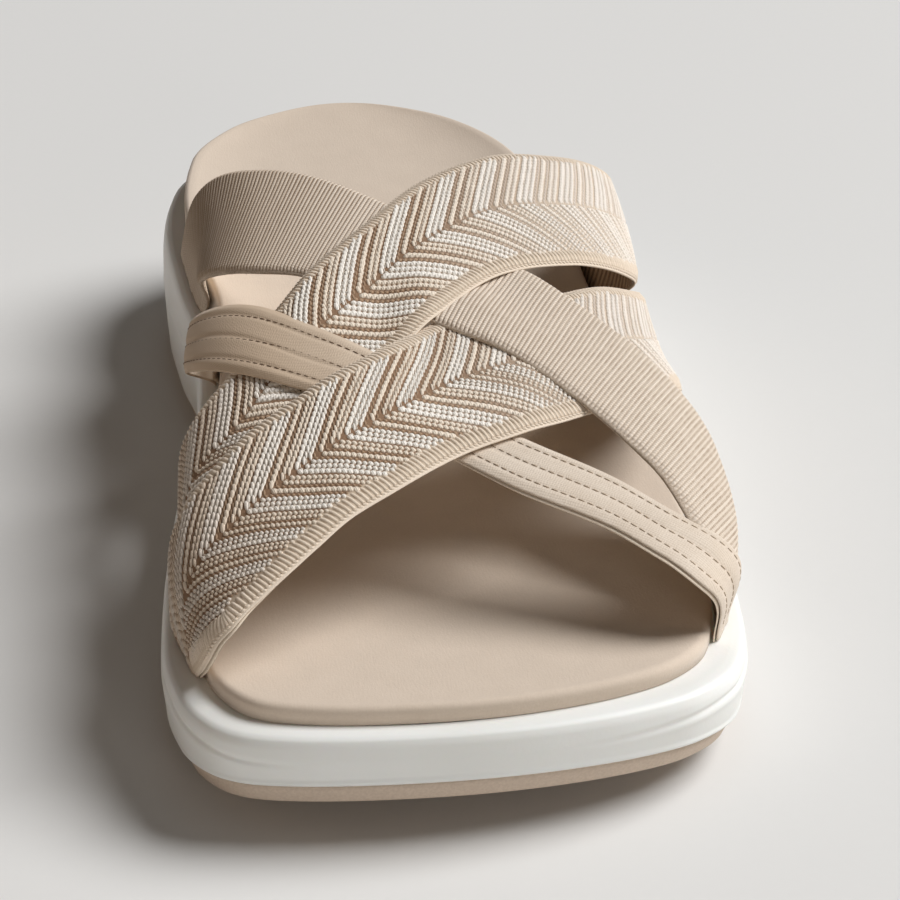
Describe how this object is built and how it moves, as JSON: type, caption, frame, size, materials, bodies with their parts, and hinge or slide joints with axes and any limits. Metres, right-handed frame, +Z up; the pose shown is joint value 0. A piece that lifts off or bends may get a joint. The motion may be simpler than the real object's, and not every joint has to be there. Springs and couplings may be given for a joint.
{
  "type": "orthopedic sandal",
  "caption": "Slip-on sandal with knitted, elastic and smooth straps woven over the foot, a cupped footbed with arch support and a thick foam sole with a rubber tread.",
  "frame": {"origin": "middle of the sandal's bounding box, on the floor under the sole", "axes": "+Y from toe to heel, +X toward the outer side of the left foot, +Z up"},
  "size_m": [0.1039, 0.256, 0.0639],
  "materials": {
    "outsole": "matte beige rubber",
    "midsole": "smooth white foam",
    "footbed": "soft beige microfibre cover",
    "upper": "woven beige strap",
    "chevron_knit": "knitted chevron in cream, beige and brown",
    "ribbed_elastic": "finely ribbed elastic",
    "smooth_strap": "smooth beige microfibre",
    "strap_lining": "pale lining",
    "stitching": "sewing thread"
  },
  "bodies": {
    "root": {"outsole": "outsole", "midsole": "midsole", "footbed": "footbed", "upper": "upper"}
  },
  "joints": []
}
